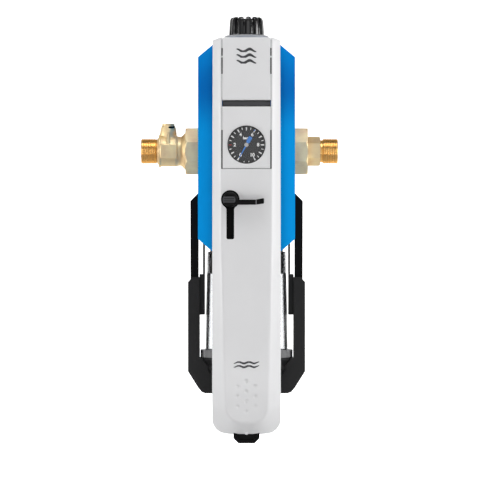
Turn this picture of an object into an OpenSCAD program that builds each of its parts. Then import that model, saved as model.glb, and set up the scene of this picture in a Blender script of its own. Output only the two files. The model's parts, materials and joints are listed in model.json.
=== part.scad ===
// Single-lever water filter station with magnet, pressure reducer and gauge.
// Origin: middle of the horizontal pipe run. +X along the pipe to the outlet,
// -Y towards the operating lever, +Z up.

/* [Pipe run] */
// Outside radius of the two threaded tails
thread_r = 13.22; // [12.8:0.02:13.6]
// Length of the inlet thread
inlet_thread_len = 16.4; // [12:0.2:20]
// Length of the outlet thread
outlet_thread_len = 16.1; // [12:0.2:20]
// Water way radius in the two fittings
bore_r = 9; // [7:0.5:9]
// Size of the union nuts across their flats
nut_af = 48.6; // [47:0.2:50]
// Size of the outlet hexagon across its flats
hex_af = 27; // [27:0.5:30]

/* [Casing] */
// Half the width of the blue casing
casing_half = 50; // [49.8:0.1:50]
// Wall of the blue casing
casing_wall = 2.5; // [2:0.1:3]
// Distance from the pipe to the casing's front face
casing_front = 103; // [102.6:0.1:103]

/* [Front lever] */
// Half the width of the front cover at the top
shell_half_top = 34.6; // [34.4:0.1:35]
// Half the width of the front cover low down
shell_half_low = 35.3; // [35:0.1:36]
// Half the width of its flat centre
shell_flat = 26.9; // [26.5:0.1:27.2]
// Distance from the pipe to the most forward point of the cover
shell_front = 149; // [148.5:0.1:149.5]
// Wall of the front cover
shell_wall = 2.5; // [2:0.1:2.6]

/* [Gauge] */
// Height of the gauge above the pipe axis
gauge_z = 1.5; // [0:0.5:3]
// Outside radius of the gauge
gauge_r = 19.3; // [19:0.1:19.5]

/* [Filter cup] */
// Outside radius of the clear cup at its top
cup_r_top = 41.1; // [41:0.1:41.6]
// Outside radius of the clear cup at its foot
cup_r_low = 43.1; // [43:0.1:43.2]
// Number of grooves round the ribbed ring
ring_grooves = 44; // [24:1:60]

/* [Hidden] */
$fn = 96;
brass = [0.80, 0.68, 0.48];
plated = [0.80, 0.72, 0.60];
white = [0.93, 0.93, 0.93];
blue = [0.0, 0.45, 0.78];
black = [0.12, 0.12, 0.13];
steel = [0.72, 0.73, 0.75];

// Axis of the head, cup, reducer and knob
head_y = -62;
// Back of the casing, its cover's thickness and the openings for the nuts
casing_back = 30;
cover_t = 3;
port_r = 27.6;
// Square flange between manifold and head, and where its bolts are
flange_half = 30;
bolt_xz = [-24, 24];
// Ends of the pieces along the pipe run
spigot_x = 52;
gasket_t = 2;
collar_x = spigot_x + gasket_t;
left_body = [-93.2, -68.1];
boss_x = -83.4;
boss_top = 27;
right_hex = [64.6, 78.3];
// Hinge of the front lever
pivot_y = -116;
pivot_z = 96;
pivot_r = 3;
pivot_clear_r = 12.5;
// Front cover
shell_top = 108.9;
shell_bottom = -293.8;
shell_rear = -108;
plateau_end = -281.6;
profile_mid = -60;
profile_k = 0.000266;
profile_steps = 24;
facet_angle = 46;
insert_half = 24.7;
insert_gap = 0.6;
insert_bottom = -22.6;
lip_angle = 20;
strip_z = [40.3, 46.7];
// Lock lever and its recess
lock_x = -16.4;
lock_z = -54;
recess_r = 9.4;
slot_half = 3.9;
slot_end = -94.4;
// How far forward the foot's lower edge is
foot_front = 126;
// Latch in the foot, the seats of its springs, and its keeper on the cup's carrier
latch_half = 13.3;
latch_y = [-121.4, -111];
latch_top_z = -282.6;
latch_seat_z = -271.8;
keeper_half = 6.5;
// Wave mark on the top panel: middle, spacing, half length, half thickness and pocket depth
wave_z = 91.6;
wave_pitch = 5.8;
wave_half = 10;
wave_t = 1.35;
wave_depth = 1.2;
// Ribbed ring round the cup's foot
ring_z = [-216.6, -209];
// Lift rods and the shoes that they end in
rod_x = 44.4;
rod_r = 1.1;
shoe_z = [-172.6, -130.4];

// ---------- helpers ----------

module xcyl(x0, x1, r, y = 0, z = 0) {
    translate([x0, y, z]) rotate([0, 90, 0]) cylinder(h = x1 - x0, r = r);
}

module ycyl(y0, y1, r, x = 0, z = 0) {
    translate([x, y1, z]) rotate([90, 0, 0]) cylinder(h = y1 - y0, r = r);
}

module zcyl(z0, z1, r, x = 0, y = 0) {
    translate([x, y, z0]) cylinder(h = z1 - z0, r = r);
}

module block(x0, x1, y0, y1, z0, z1) {
    translate([x0, y0, z0]) cube([x1 - x0, y1 - y0, z1 - z0]);
}

// Extrudes a child drawn in X and Z from y0 to y1.
module plate(y0, y1) {
    translate([0, y1, 0]) rotate([90, 0, 0]) linear_extrude(y1 - y0) children();
}

// Extrudes a child drawn in Y and Z along X.
module bar(x0, x1) {
    translate([x0, 0, 0]) rotate([90, 0, 90]) linear_extrude(x1 - x0) children();
}

// Turns a half profile of radius and height about the head's axis.
module lathe(points) {
    translate([0, head_y, 0]) rotate_extrude() polygon(points);
}

// Turns a half profile of radius and X about the pipe axis.
module pipe_lathe(points) {
    rotate([0, 90, 0]) rotate_extrude() polygon(points);
}

module both_sides() {
    children();
    mirror([1, 0, 0]) children();
}

// ---------- pipe run ----------

module manifold() {
    color(brass) difference() {
        union() {
            xcyl(-spigot_x, spigot_x, 17);
            xcyl(-spigot_x, -40, 20);
            xcyl(40, spigot_x, 20);
            ycyl(-35, 0, 23);
            block(-flange_half, flange_half, -36, -28, -flange_half, flange_half);
        }
        xcyl(-spigot_x - 1, -5, 12);
        xcyl(5, spigot_x + 1, 12);
        for (x = [-13, 13]) ycyl(-37, 0, 6, x);
        for (x = bolt_xz, z = bolt_xz) ycyl(-37, -27, 2.6, x, z);
    }
}

module union_nut() {
    chamfer = 2.2;
    corner = nut_af / 2 / cos(22.5) + 0.3;
    difference() {
        intersection() {
            translate([42, 0, 0]) rotate([0, 90, 0]) rotate([0, 0, 26])
                cylinder(h = 23, r = nut_af / 2 / cos(22.5), $fn = 8);
            pipe_lathe([[0, 42], [corner - chamfer, 42], [corner, 44.5],
                [corner, 62.5], [corner - chamfer, 65], [0, 65]]);
        }
        xcyl(41, 58.3, 20.08);
        xcyl(58, 66, 15.3);
    }
}

module inlet_union_nut() {
    color(plated) mirror([1, 0, 0]) union_nut();
}

module outlet_union_nut() {
    color(plated) union_nut();
}

module union_gaskets() {
    color(black) both_sides() difference() {
        xcyl(spigot_x, collar_x, 19.4);
        xcyl(spigot_x - 1, collar_x + 1, 12);
    }
}

module check_valve_body() {
    body_l = left_body[0];
    body_r = left_body[1];
    thread_end = body_l - 2.6 - inlet_thread_len;
    color(brass) difference() {
        union() {
            xcyl(-58.2, -collar_x, 19.4);
            xcyl(body_r - 1, -58, 15);
            intersection() {
                xcyl(body_l, body_r, 17.6);
                block(body_l, body_r, -18, 18, -16, 16);
            }
            xcyl(body_l, body_l + 1.7, 17.5);
            block(-91.5, -73.9, -18, 0, -8.3, 6.4);
            pipe_lathe([[0, body_l - 2.6], [11.6, body_l - 2.6], [15.2, body_l], [0, body_l]]);
            xcyl(thread_end, body_l - 2.5, thread_r);
            zcyl(12, boss_top, 7.3, boss_x);
            zcyl(12, 18, 9.3, boss_x);
            block(boss_x - 1.6, boss_x + 1.6, -10, 0, 12, boss_top - 2);
        }
        xcyl(thread_end - 1, -53, bore_r);
        xcyl(-92, -69, 12);
        zcyl(13, 30, 4.5, boss_x);
    }
}

module test_plug() {
    color(brass) {
        zcyl(19, boss_top, 4.4, boss_x);
        difference() {
            zcyl(boss_top, boss_top + 2.2, 6.6, boss_x);
            zcyl(boss_top + 0.8, boss_top + 3, 3, boss_x, 0, $fn = 6);
        }
    }
}

// Plastic cage that holds the check valve: seat ring, wall and guide.
module check_cartridge() {
    color(white) difference() {
        xcyl(-91.6, -70, 11.9);
        xcyl(-88.5, -75, 9.4);
        xcyl(-92, -88, 5.5);
        xcyl(-76, -69, 1.56);
        for (a = [0:60:300]) rotate([a, 0, 0]) xcyl(-76, -69, 2.2, 6);
    }
}

module check_poppet() {
    color(black) {
        xcyl(-88.5, -86.5, 7.5);
        xcyl(-86.6, -71, 1.5);
    }
}

// Close coils drawn as plain rings.
module coil(z0, z1, r, wire, turns) {
    step = (z1 - z0 - 2 * wire) / (turns - 1);
    for (i = [0:turns - 1]) translate([0, 0, z0 + wire + i * step])
        rotate_extrude() translate([r, 0]) circle(r = wire, $fn = 24);
}

module check_spring() {
    color(steel) rotate([0, 90, 0]) coil(-86.4, -75.1, 3.4, 0.4, 5);
}

module outlet_tail() {
    hex_r = hex_af / 2 / cos(30);
    hex_l = right_hex[0];
    hex_r_end = right_hex[1];
    relief = hex_r_end + 2.6;
    color(brass) difference() {
        union() {
            xcyl(collar_x, 58.2, 19.4);
            xcyl(58, hex_l + 1, 15);
            intersection() {
                translate([hex_l, 0, 0]) rotate([0, 90, 0])
                    cylinder(h = hex_r_end - hex_l, r = hex_r, $fn = 6);
                pipe_lathe([[0, hex_l], [hex_r - 1.4, hex_l], [hex_r, hex_l + 1.6],
                    [hex_r, hex_r_end - 1.6], [hex_r - 1.4, hex_r_end], [0, hex_r_end]]);
            }
            xcyl(hex_r_end - 0.5, relief + 0.5, 11.6);
            xcyl(relief, relief + outlet_thread_len, thread_r);
        }
        xcyl(53, relief + outlet_thread_len + 1, bore_r);
    }
}

// ---------- filter head and reducer ----------

module filter_head() {
    color([0.35, 0.36, 0.38]) difference() {
        union() {
            zcyl(-50, 62, 24.5, 0, head_y);
            zcyl(-98, -45, 36, 0, head_y);
            zcyl(-130, -98, 38, 0, head_y);
            block(-flange_half, flange_half, -50, -37, -45, flange_half);
            block(-47.3, 47.3, head_y - 6, head_y + 6, -84, -78);
            ycyl(-94, -80, 10, 0, gauge_z);
        }
        difference() {
            zcyl(-131, -62, 33.5, 0, head_y);
            zcyl(-119, -61, 17, 0, head_y);
        }
        zcyl(-120, -14, 12, 0, head_y);
        zcyl(-15, -8, 7, 0, head_y);
        zcyl(-9, 24, 14, 0, head_y);
        zcyl(23, 63, 18.2, 0, head_y);
        ycyl(-46, -36, 6, -13);
        zcyl(-63, 0, 5.5, -13, -44.5);
        ycyl(-60, -36, 6, 13);
        ycyl(-95, -86, 5.1, 0, gauge_z);
        ycyl(-87, -70, 1.5, 0, gauge_z);
        for (x = bolt_xz, z = bolt_xz) {
            ycyl(-51, -36, 3.2, x, z);
            ycyl(-56, -50, 5.3, x, z);
        }
        difference() {
            zcyl(-114, -110, 39, 0, head_y);
            zcyl(-115, -109, 36, 0, head_y);
        }
        for (x = [-rod_x, rod_x]) zcyl(-85, -77, rod_r + 0.4, x, head_y);
    }
}

module head_seal() {
    color(black) difference() {
        block(-29.5, 29.5, -37, -36, -29.5, 29.5);
        for (x = [-13, 13]) ycyl(-38, -35, 6.4, x);
        for (x = bolt_xz, z = bolt_xz) ycyl(-38, -35, 3.3, x, z);
    }
}

module flange_bolts() {
    color(steel) for (x = bolt_xz, z = bolt_xz) {
        ycyl(-50, -29, 2.5, x, z);
        difference() {
            ycyl(-55, -50, 5, x, z);
            translate([x, -52.4, z]) rotate([90, 0, 0]) cylinder(h = 4, r = 2.8, $fn = 6);
        }
    }
}

module reducer_bonnet() {
    color(black) difference() {
        union() {
            zcyl(62, 109, 21, 0, head_y);
            zcyl(62, 68, 24.5, 0, head_y);
        }
        zcyl(61, 104, 17.6, 0, head_y);
        zcyl(103, 110, 4.06, 0, head_y);
    }
}

module collar() {
    color(white) difference() {
        lathe([[0, 109], [22.2, 109], [23.2, 110], [23.2, 117], [22.2, 118.1], [0, 118.1]]);
        zcyl(108, 119, 6, 0, head_y);
    }
}

module knob() {
    ribs = 14;
    color(black) difference() {
        union() {
            lathe([[4.02, 118.5], [17.8, 118.5], [17.8, 120.5], [17, 135.5], [15, 137.5],
                [4.02, 137.5]]);
            for (i = [0:ribs - 1]) translate([0, head_y, 0]) rotate([0, 0, i * 360 / ribs])
                translate([15.6, 0, 118.7]) cylinder(h = 18, r = 2.4);
        }
        zcyl(136, 138, 8, 0, head_y);
    }
}

module spindle() {
    color(steel) {
        zcyl(70, 135, 4, 0, head_y);
        zcyl(101, 103.8, 9, 0, head_y);
    }
}

module spring_plate() {
    color(steel) difference() {
        zcyl(90, 94, 17.2, 0, head_y);
        zcyl(89, 95, 4.06, 0, head_y);
    }
}

module setting_spring() {
    color(steel) translate([0, head_y, 0]) coil(34, 90, 11.5, 1.25, 8);
}

module reducer_piston() {
    color(brass) {
        zcyl(28, 34, 17.8, 0, head_y);
        zcyl(-20, 29, 2.5, 0, head_y);
        zcyl(-21, -17.5, 9.5, 0, head_y);
    }
}

// ---------- gauge ----------

module gauge_case() {
    color(black) difference() {
        ycyl(-148.2, -128, gauge_r, 0, gauge_z);
        ycyl(-149, -141, gauge_r - 1.1, 0, gauge_z);
    }
}

module gauge_dial() {
    color(black) difference() {
        ycyl(-142, -141, gauge_r - 1.2, 0, gauge_z);
        ycyl(-143, -140, 1.1, 0, gauge_z);
    }
}

module gauge_lens() {
    color([0.9, 0.95, 1, 0.3]) ycyl(-147.4, -146.2, gauge_r - 1.15, 0, gauge_z);
}

// Points at zero, down and to the left.
module gauge_pointer() {
    color(blue) {
        translate([0, -143.4, gauge_z]) rotate([90, 0, 0]) linear_extrude(0.8)
            rotate(240) polygon([[15, 0.3], [15, -0.3], [-3, -1.2], [-9, -1.9], [-9, 1.9], [-3, 1.2]]);
        ycyl(-145, -142.6, 2.4, 0, gauge_z);
        ycyl(-142.7, -141.2, 1, 0, gauge_z);
    }
}

module gauge_stem() {
    color(brass) ycyl(-128, -87, 5, 0, gauge_z);
}

// ---------- casing ----------

module casing_outline(inset) {
    h = casing_half - inset;
    polygon([[0, 108.4 - inset], [32 - inset * 0.4, 108.4 - inset], [h, 93.4 - inset * 0.4],
        [h, -93.9 + inset * 0.4], [36 - inset * 0.4, -106.2 + inset], [0, -106.2 + inset]]);
}

module casing_right() {
    color(blue) difference() {
        plate(-casing_front, casing_back) casing_outline(0);
        plate(-casing_front + casing_wall, casing_back + 1) casing_outline(casing_wall);
        xcyl(40, 60, port_r);
        block(40, 60, 0, casing_back + 1, -port_r, port_r);
        zcyl(100, 110, 21.4, 0, head_y);
        ycyl(-110, -95, 11, 0, gauge_z);
        intersection() {
            zcyl(-110, -90, 46.6, 0, head_y);
            block(-60, 60, -casing_front + casing_wall, 0, -110, -90);
        }
    }
}

module casing_left() {
    mirror([1, 0, 0]) casing_right();
}

module back_cover() {
    color(black) difference() {
        union() {
            plate(casing_back, casing_back + cover_t) {
                casing_outline(0);
                mirror([1, 0]) casing_outline(0);
            }
            both_sides() difference() {
                block(46, casing_half, 2, casing_back + 1, -port_r + 0.2, port_r - 0.2);
                xcyl(40, 60, port_r);
            }
        }
        for (x = [-40, 40], z = [-80, 80]) ycyl(casing_back - 1, casing_back + 5, 1.8, x, z);
    }
}

module cover_screws() {
    face = casing_back + cover_t;
    color(steel) for (x = [-40, 40], z = [-80, 80]) {
        ycyl(face - 12, face, 1.6, x, z);
        difference() {
            ycyl(face, face + 2.4, 3.6, x, z);
            block(x - 4, x + 4, face + 1.6, face + 3, z - 0.5, z + 0.5);
        }
    }
}

// ---------- fixed centre panel ----------

function front_y(z) = -shell_front + profile_k * pow(z - profile_mid, 2);

// Side view of the cover's front, set back by inset and with depths scaled, closed at rear.
function profile(inset, scaled, top, bottom, rear = -90) = concat(
    [[rear, top]],
    [for (i = [0:profile_steps]) let (z = top + (plateau_end - top) * i / profile_steps)
        [(front_y(z) + inset) * scaled, z]],
    [[(-foot_front + inset) * scaled, bottom], [rear, bottom]]);

// Cuts a panel's lower edge along the sloping lip.
module lip_cut(z) {
    translate([0, -shell_front, z]) rotate([-lip_angle, 0, 0]) block(-40, 40, -30, 60, -60, 0);
}

// Box-shaped cover between two heights, open at its back.
module centre_panel(z0, z1, inset_wall) {
    difference() {
        intersection() {
            block(-insert_half, insert_half, -160, -casing_front, z0, z1);
            bar(-40, 40) polygon(profile(0, 1, 120, shell_bottom));
        }
        intersection() {
            block(-insert_half + 2.5, insert_half - 2.5, -160, -90, z0 + inset_wall, z1 - 2.5);
            bar(-40, 40) polygon(profile(2.5, 1, 120, shell_bottom));
        }
    }
}

module gauge_panel() {
    color(white) difference() {
        centre_panel(-25, strip_z[0], 5);
        lip_cut(insert_bottom);
        ycyl(-160, -135, gauge_r + 0.1, 0, gauge_z);
        ycyl(-136, -100, 12, 0, gauge_z);
    }
}

module top_panel() {
    color(white) difference() {
        centre_panel(strip_z[1], 110.4, 2.5);
        wave_bars(8, 0.05);
    }
}

module grip_strip() {
    color(black) block(-insert_half, insert_half, -138, -casing_front, strip_z[0], strip_z[1]);
}

// Three plain waves, from a height above the panel's face down to the floor of their pockets.
module wave_bars(height, grow) {
    step = (wave_half + grow) / 6;
    t = wave_t + grow;
    for (k = [-1:1]) plate(front_y(wave_z) - height, front_y(wave_z) + wave_depth)
        translate([0, wave_z + k * wave_pitch]) polygon(concat(
            [for (i = [0:12]) [(i - 6) * step, t + 1.3 * sin(i * 45)]],
            [for (i = [12:-1:0]) [(i - 6) * step, -t + 1.3 * sin(i * 45)]]));
}

module wave_mark() {
    color(black) wave_bars(0.5, 0);
}

// ---------- front lever ----------

module pivot_brackets() {
    color(steel) both_sides() difference() {
        union() {
            block(27.4, 31.6, pivot_y, -casing_front, pivot_z - 9, pivot_z + 1.5);
            xcyl(27.4, 31.6, 9, pivot_y, pivot_z);
        }
        xcyl(27, 32, pivot_r + 0.02, pivot_y, pivot_z);
    }
}

module pivot_pins() {
    color(steel) both_sides() xcyl(27.4, 34.2, pivot_r, pivot_y, pivot_z);
}

module cover_outline(inset) {
    low = shell_half_low - inset;
    top = shell_half_top - inset;
    corner = 10 - inset;
    foot = shell_bottom + inset;
    polygon(concat([[top, shell_top - inset]],
        [for (a = [0:-15:-90]) [low - corner + corner * cos(a), foot + corner + corner * sin(a)]],
        [for (a = [-90:-15:-180]) [-low + corner + corner * cos(a), foot + corner + corner * sin(a)]],
        [[-top, shell_top - inset]]));
}

// Solid of the cover's outer form, or of its hollow when inset is the wall.
module cover_form(inset, rear) {
    edge = shell_flat - inset * tan(facet_angle / 2);
    intersection() {
        plate(-170, rear) cover_outline(inset);
        bar(-50, 50) polygon(profile(inset, 1, 130, shell_bottom + inset));
        both_facets() translate([edge, 0, 0]) rotate([0, 0, facet_angle])
            bar(-400, 200) polygon(profile(inset, cos(facet_angle), 130, shell_bottom + inset, 200));
    }
}

module both_facets() {
    intersection() {
        children();
        mirror([1, 0, 0]) children();
    }
}

module keyhole(grow) {
    translate([lock_x, lock_z]) circle(r = recess_r + grow);
    translate([lock_x - slot_half - grow, slot_end - grow])
        square([2 * (slot_half + grow), lock_z - slot_end]);
}

module front_cover() {
    color(white) {
        cover_shell();
        both_sides() block(7.5, 13.5, -136, -115.5, latch_seat_z, latch_seat_z + 2);
    }
}

// The cover with its openings, without the seats of the latch's springs.
module cover_shell() {
    difference() {
        cover_form(0, shell_rear);
        cover_form(shell_wall, shell_rear + 5);
        difference() {
            block(-insert_half - insert_gap, insert_half + insert_gap, -170, -90, -60, 120);
            lip_cut(insert_bottom - insert_gap);
        }
        difference() {
            block(-40, 40, pivot_y, -100, pivot_z, 120);
            xcyl(-41, 41, pivot_clear_r, pivot_y, pivot_z);
        }
        block(-32, 32, pivot_y - 1, -90, pivot_z + 4, 120);
        both_sides() xcyl(30, 40, pivot_r + 0.06, pivot_y, pivot_z);
        plate(-160, -140) keyhole(0);
        block(-latch_half - 0.4, latch_half + 0.4, latch_y[0] - 0.8, latch_y[1] + 0.8, -300, -286);
        for (i = [0:3]) dimple(0, -238.4 - i * 10.4);
        for (i = [0:2], x = [-8.9, 8.9]) dimple(x, -243.6 - i * 10.4);
    }
}

module dimple(x, z) {
    translate([x, front_y(z) - 2, z]) sphere(r = 2.6);
}

module keyhole_liner() {
    color(black) difference() {
        plate(-146, -136) keyhole(1.3);
        plate(-147, -137.6) keyhole(0);
        ycyl(-140, -130, 4.06, lock_x, lock_z);
    }
}

module lock_lever() {
    arm_z = -56.9;
    color(black) {
        ycyl(-155, -138, 8.8, lock_x, lock_z);
        ycyl(-138.5, -131, 4, lock_x, lock_z);
        plate(-160, -154) polygon([[lock_x - 7, arm_z - 2.5], [9, arm_z - 2.5], [17.6, arm_z - 1],
            [17.6, arm_z + 4], [9, arm_z + 2.5], [lock_x - 7, arm_z + 2.5]]);
    }
}

module lock_cam() {
    color(steel) {
        difference() {
            union() {
                ycyl(-135.4, -132, 7, lock_x, lock_z);
                block(lock_x, lock_x + 12, -135.4, -132, lock_z - 3, lock_z + 3);
            }
            ycyl(-136, -131.9, 4.02, lock_x, lock_z);
        }
        ycyl(-131, -129, 6, lock_x, lock_z);
    }
}

module latch_tab() {
    color(black) {
        plate(latch_y[0], latch_y[1]) difference() {
            polygon([[-latch_half, -284], [-latch_half, -298], [-8.3, -303], [8.3, -303],
                [latch_half, -298], [latch_half, -284]]);
            translate([-2, -300]) square([4, 1.6]);
        }
        block(-15.5, 15.5, latch_y[0], latch_y[1], -285.2, latch_top_z);
        block(-5, 5, -114.4, latch_y[1], -284, -272.6);
        block(-5, 5, -120, latch_y[1], -275.6, -272.6);
    }
}

module latch_spring() {
    color(steel) both_sides() translate([10.5, -118.4, 0])
        coil(latch_top_z, latch_seat_z, 2.4, 0.4, 5);
}

// ---------- lift gear ----------

module rails() {
    color(black) both_sides() plate(head_y - 8, head_y + 8)
        polygon([[50.1, -45.8], [50.1, -182], [58.2, -182], [58.5, -54.2]]);
}

module yoke_outline() {
    polygon([[48.9, -133.5], [56, -133.5], [60.8, -138.4], [60.8, -231.2], [50.4, -247.8],
        [46.5, -252.6], [42.6, -254.1], [-42.6, -254.1], [-46.5, -252.6], [-50.4, -247.8],
        [-60.8, -231.2], [-60.8, -138.4], [-56, -133.5], [-48.9, -133.5], [-48.9, -217.4],
        [48.9, -217.4]]);
}

module yoke() {
    color(black) difference() {
        plate(head_y - 17, head_y + 17) yoke_outline();
        both_sides() block(49.7, 58.9, head_y - 8.4, head_y + 8.4, -184, -130);
        lathe([[0, -246], [36.5, -246], [39, -242.3], [39, -237.3], [43.5, -229.8],
            [43.5, -225.3], [48.3, -219.5], [48.3, -100], [0, -100]]);
    }
}

module guide_shoes() {
    color(black) both_sides() difference() {
        block(43.5, 48.9, head_y - 10, head_y + 10, shoe_z[0], shoe_z[1]);
        zcyl(-180, -120, 43.6, 0, head_y);
    }
}

module lift_rods() {
    color(steel) both_sides() {
        zcyl(shoe_z[1], -48, rod_r, rod_x, head_y);
        zcyl(-54, -49, 2.6, rod_x, head_y, $fn = 6);
    }
}

module filter_cup() {
    color([0.8, 0.9, 1, 0.3]) lathe([[38.6, -107], [cup_r_top, -107], [cup_r_low, -212],
        [cup_r_low, -219], [40.6, -219], [40.6, -212], [38.6, -134]]);
}

module cup_seal() {
    color(black) lathe([[36, -113.9], [38.3, -113.9], [38.3, -110.1], [36, -110.1]]);
}

module ribbed_ring() {
    color([0.6, 0.6, 0.62]) difference() {
        lathe([[cup_r_low + 0.05, ring_z[0]], [48, ring_z[0]], [48, ring_z[1]],
            [cup_r_low + 0.05, ring_z[1]]]);
        for (i = [0:ring_grooves - 1]) translate([0, head_y, 0])
            rotate([0, 0, i * 360 / ring_grooves]) translate([48.6, 0, ring_z[0] - 1])
                cylinder(h = ring_z[1] - ring_z[0] + 2, r = 1.2, $fn = 24);
    }
}

module cup_base() {
    color(black) lathe([[0, -245.4], [36, -245.4], [38.4, -242], [38.4, -237], [43, -229.5],
        [43, -225], [47.6, -219.2], [47.6, -216.8], [43.4, -216.8], [43.4, -219.2],
        [40.4, -219.2], [40.4, -211], [37, -211], [37, -219.2],
        [0, -219.2]]);
}

module keeper() {
    color(black) {
        block(-keeper_half, keeper_half, -118, head_y - 17, -252.5, -248);
        block(-keeper_half, keeper_half, -118, -115, -272, -248);
    }
}

// ---------- filter element ----------

module sieve_frame() {
    color(white) {
        lathe([[17.6, -116], [26, -116], [26, -107], [17.6, -107]]);
        lathe([[8, -219], [26, -219], [26, -212], [8, -212]]);
        for (a = [0:60:300]) translate([0, head_y, 0]) rotate([0, 0, a])
            block(23.6, 26, -1.5, 1.5, -212.5, -115.5);
    }
}

module sieve_mesh() {
    color(steel) lathe([[22.9, -212], [23.5, -212], [23.5, -116], [22.9, -116]]);
}

module magnet_sleeve() {
    color(steel) lathe([[0, -126], [7, -126], [7, -219.2], [5.6, -219.2], [5.6, -127.4],
        [0, -127.4]]);
}

module magnet_rod() {
    color([0.4, 0.4, 0.42]) zcyl(-219.2, -128, 5.5, 0, head_y);
}

// ---------- drawing ----------

manifold();
inlet_union_nut();
outlet_union_nut();
union_gaskets();
check_valve_body();
test_plug();
check_cartridge();
check_poppet();
check_spring();
outlet_tail();
filter_head();
head_seal();
flange_bolts();
reducer_bonnet();
collar();
knob();
spindle();
spring_plate();
setting_spring();
reducer_piston();
gauge_case();
gauge_dial();
gauge_lens();
gauge_pointer();
gauge_stem();
casing_left();
casing_right();
back_cover();
cover_screws();
top_panel();
gauge_panel();
grip_strip();
wave_mark();
pivot_brackets();
pivot_pins();
front_cover();
keyhole_liner();
lock_lever();
lock_cam();
latch_tab();
latch_spring();
rails();
yoke();
guide_shoes();
lift_rods();
filter_cup();
cup_seal();
ribbed_ring();
cup_base();
keeper();
sieve_frame();
sieve_mesh();
magnet_sleeve();
magnet_rod();
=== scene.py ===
import json
import math

import bmesh
import bpy
from mathutils import Matrix, Vector


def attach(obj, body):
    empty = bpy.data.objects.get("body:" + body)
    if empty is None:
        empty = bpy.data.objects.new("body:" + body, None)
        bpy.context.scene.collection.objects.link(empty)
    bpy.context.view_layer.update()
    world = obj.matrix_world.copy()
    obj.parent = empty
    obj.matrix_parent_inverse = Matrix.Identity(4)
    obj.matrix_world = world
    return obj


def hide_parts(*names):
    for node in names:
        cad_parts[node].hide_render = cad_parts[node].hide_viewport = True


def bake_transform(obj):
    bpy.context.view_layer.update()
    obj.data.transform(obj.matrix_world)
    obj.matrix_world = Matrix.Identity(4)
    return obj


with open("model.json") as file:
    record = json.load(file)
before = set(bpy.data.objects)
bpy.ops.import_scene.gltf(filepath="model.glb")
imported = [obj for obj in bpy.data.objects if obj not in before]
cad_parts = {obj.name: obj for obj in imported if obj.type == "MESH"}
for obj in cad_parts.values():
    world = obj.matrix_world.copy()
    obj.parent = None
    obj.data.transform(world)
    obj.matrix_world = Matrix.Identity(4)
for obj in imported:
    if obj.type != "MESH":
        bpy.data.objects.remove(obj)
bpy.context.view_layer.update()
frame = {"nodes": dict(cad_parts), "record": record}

MM = 0.001

# ---------------------------------------------------------------- dimensions, in millimetres

# Upright axis of the knob, the reducer and the cup
HEAD_Y = -62.0
# Front surface: half widths of its flat centre, the slope beside it, and the bow of its side profile
FLAT_TOP, FLAT_MID, FLAT_LOW = 26.9, 25.7, 21.8
FLAT_MID_Z, FLAT_RISE, FLAT_DROP = -100, 208, 170
FACET_SLOPE, FACET_BLEND = math.tan(math.radians(46)), 1.6
BOW_Y, BOW_Z, BOW = -149, -60, 0.000266
SMILE_Z, SMILE_CORNER = -281.6, 17.0
DIMPLE_PITCH, DIMPLE_R, DIMPLE_DEPTH = 10.4, 1.75, 0.8
# Lever: half widths, ends, corner of the foot, rolled edge and pivot
SIDE_TOP, SIDE_LOW = 34.6, 35.3
TOP_Z, BOTTOM_Z = 111.4, -294.4
CORNER_R, FOOT_CURVE, EDGE = 13.0, 0.0022, 0.5
PIVOT_Y, PIVOT_Z, PIVOT_CLEAR = -116.0, 96.0, 12.4
SWING, SWING_GAP = math.radians(80), 0.4
SHELL_REAR, CASING_FRONT = -108.0, -103.0
# Fixed panels and the strip between them
INSERT_HALF, INSERT_GAP, INSERT_BOTTOM = 24.75, 0.5, -22.6
STRIP_LOW, STRIP_HIGH = 40.3, 46.7
GAUGE_R, GAUGE_Z, DIAL_Y = 19.3, 1.5, -142.0
# Keyhole and lock lever
LOCK_X, LOCK_Z, ARM_Z = -16.4, -54.0, -56.9
RECESS_R, SLOT_HALF, SLOT_END, SLOT_R = 9.4, 3.9, -94.4, 1.6
# Fittings
THREAD_R, THREAD_PITCH, THREAD_DEPTH, BORE_R = 13.22, 1.814, 0.6, 9.0
THREAD_END_R = THREAD_R - 0.81
BOSS_X, BOSS_TOP = -83.4, 27.0
# Latch, and the free length at each end of a spring
LATCH_FRONT, LATCH_REAR, SEAT_Z = -121.4, -111, -271.8
COIL_GAP = 0.15


# ---------------------------------------------------------------- materials

def new_material(name, color, rough, metal=0.0, **sockets):
    mat = bpy.data.materials.new(name)
    mat.use_nodes = True
    shader = mat.node_tree.nodes["Principled BSDF"]
    shader.inputs["Base Color"].default_value = (*color, 1)
    shader.inputs["Roughness"].default_value = rough
    shader.inputs["Metallic"].default_value = metal
    for key, value in sockets.items():
        shader.inputs[key.replace("_", " ")].default_value = value
    return mat, mat.node_tree, shader


def position(tree):
    return tree.nodes.new("ShaderNodeTexCoord").outputs["Object"]


def coordinate(tree, axis):
    parts = tree.nodes.new("ShaderNodeSeparateXYZ")
    tree.links.new(position(tree), parts.inputs["Vector"])
    return parts.outputs[axis]


def noise(tree, scale, detail=3.0):
    tex = tree.nodes.new("ShaderNodeTexNoise")
    tex.inputs["Scale"].default_value = scale
    tex.inputs["Detail"].default_value = detail
    tree.links.new(position(tree), tex.inputs["Vector"])
    return tex.outputs["Fac"]


def ramp(tree, source, low, high, start=0.3, end=0.7):
    node = tree.nodes.new("ShaderNodeValToRGB")
    node.color_ramp.elements[0].position = start
    node.color_ramp.elements[1].position = end
    node.color_ramp.elements[0].color = (*low, 1)
    node.color_ramp.elements[1].color = (*high, 1)
    tree.links.new(source, node.inputs["Fac"])
    return node.outputs["Color"]


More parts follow.
